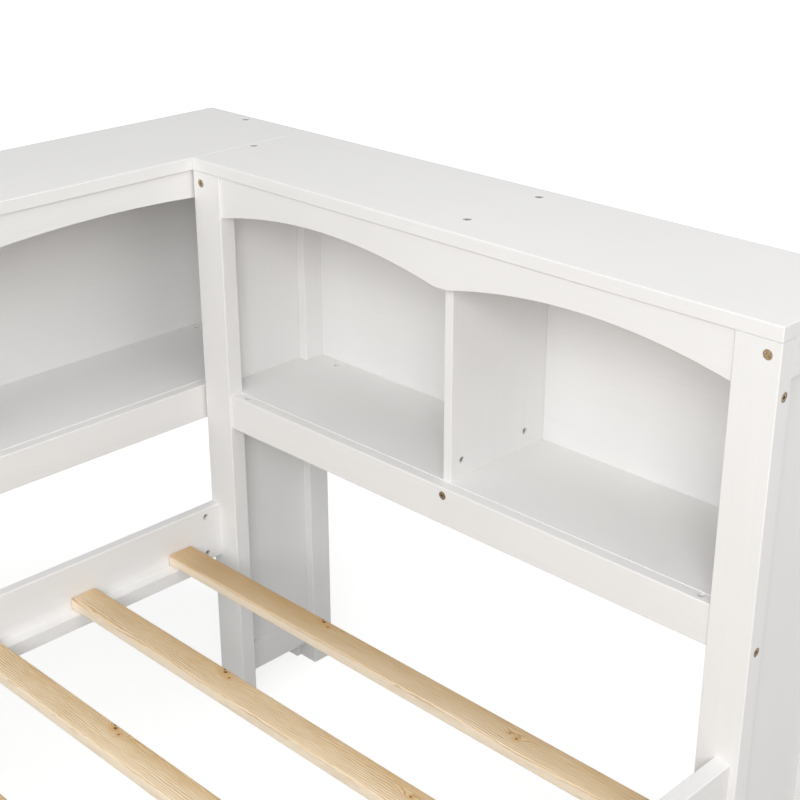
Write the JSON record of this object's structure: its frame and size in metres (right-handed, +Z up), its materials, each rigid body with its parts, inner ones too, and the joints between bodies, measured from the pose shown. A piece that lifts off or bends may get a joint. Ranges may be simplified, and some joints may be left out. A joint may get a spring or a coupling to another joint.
{
  "type": "daybed with trundle",
  "caption": "Low slatted daybed set between a bookcase along its back and a bookcase at its head, with a slatted trundle on casters that rolls in under it.",
  "frame": {"origin": "on the floor, in the middle of the footprint with the trundle rolled out", "axes": "+X along the bed towards the end bookcase, +Y across it towards the long bookcase, +Z up"},
  "size_m": [2.226, 2.3586, 1],
  "materials": {
    "white_paint": "satin white paint",
    "pine": "planed pine, clear sealed",
    "grey_steel": "zinc plated, dull",
    "bronzed_steel": "brown bronzed",
    "zinc_steel": "bright zinc",
    "black_wheel": "matte black nylon"
  },
  "bodies": {
    "bed": {"barrel_nuts": "grey_steel", "bed_back_cleat": "white_paint", "bed_back_foot_post": "white_paint", "bed_back_rail": "white_paint", "bed_foot_rail": "white_paint", "bed_front_cleat": "white_paint", "bed_front_foot_post": "white_paint", "bed_front_rail": "white_paint", "bed_rail_bolts": "bronzed_steel", "bed_slats": "pine", "divider_bolts": "grey_steel", "end_case_back_panel": "white_paint", "end_case_back_shelf_rail": "white_paint", "end_case_divider": "white_paint", "end_case_front_shelf_rail": "white_paint", "end_case_inner_back_post": "white_paint", "end_case_inner_front_post": "white_paint", "end_case_inner_side_panel": "white_paint", "end_case_inner_side_rails": "white_paint", "end_case_outer_back_post": "white_paint", "end_case_outer_front_post": "white_paint", "end_case_outer_side_panel": "white_paint", "end_case_outer_side_rails": "white_paint", "end_case_shelf": "white_paint", "end_case_top": "white_paint", "end_case_valance": "white_paint", "face_bolts": "bronzed_steel", "long_bolts": "bronzed_steel", "long_case_back_panel": "white_paint", "long_case_back_shelf_rail": "white_paint", "long_case_corner_back_post": "white_paint", "long_case_corner_front_post": "white_paint", "long_case_corner_side_panel": "white_paint", "long_case_corner_side_rails": "white_paint", "long_case_divider_1": "white_paint", "long_case_divider_2": "white_paint", "long_case_foot_back_post": "white_paint", "long_case_foot_front_post": "white_paint", "long_case_foot_side_panel": "white_paint", "long_case_foot_side_rails": "white_paint", "long_case_front_shelf_rail": "white_paint", "long_case_shelf": "white_paint", "long_case_top": "white_paint", "long_case_valance": "white_paint", "short_bolts": "bronzed_steel", "top_screws": "grey_steel"},
    "trundle": {"trundle_back_board": "white_paint", "trundle_bolts": "bronzed_steel", "trundle_caster_axles": "zinc_steel", "trundle_caster_brackets": "zinc_steel", "trundle_caster_screws": "grey_steel", "trundle_cleats": "white_paint", "trundle_end_rails": "white_paint", "trundle_front_board": "white_paint", "trundle_slats": "pine"},
    "wheel_foot_back": {"trundle_wheel_foot_back": "black_wheel"},
    "wheel_foot_front": {"trundle_wheel_foot_front": "black_wheel"},
    "wheel_head_back": {"trundle_wheel_head_back": "black_wheel"},
    "wheel_head_front": {"trundle_wheel_head_front": "black_wheel"}
  },
  "joints": [
    {"name": "trundle_slide", "type": "slide", "parent": "bed", "child": "trundle", "axis": [0, 1, 0], "range_m": [0, 1.06]},
    {"name": "wheel_foot_back_spin", "type": "hinge", "parent": "trundle", "child": "wheel_foot_back", "pos_m": [-1.057, -0.24875, 0.024], "axis": [1, 0, 0], "continuous": true},
    {"name": "wheel_foot_front_spin", "type": "hinge", "parent": "trundle", "child": "wheel_foot_front", "pos_m": [-1.057, -1.06525, 0.024], "axis": [1, 0, 0], "continuous": true},
    {"name": "wheel_head_back_spin", "type": "hinge", "parent": "trundle", "child": "wheel_head_back", "pos_m": [0.8415, -0.24875, 0.024], "axis": [1, 0, 0], "continuous": true},
    {"name": "wheel_head_front_spin", "type": "hinge", "parent": "trundle", "child": "wheel_head_front", "pos_m": [0.8415, -1.06525, 0.024], "axis": [1, 0, 0], "continuous": true}
  ],
  "couplings": [
    {"joint": "wheel_foot_back_spin", "follows": "trundle_slide", "rad_per_m": -41.667},
    {"joint": "wheel_foot_front_spin", "follows": "trundle_slide", "rad_per_m": -41.667},
    {"joint": "wheel_head_back_spin", "follows": "trundle_slide", "rad_per_m": -41.667},
    {"joint": "wheel_head_front_spin", "follows": "trundle_slide", "rad_per_m": -41.667}
  ]
}
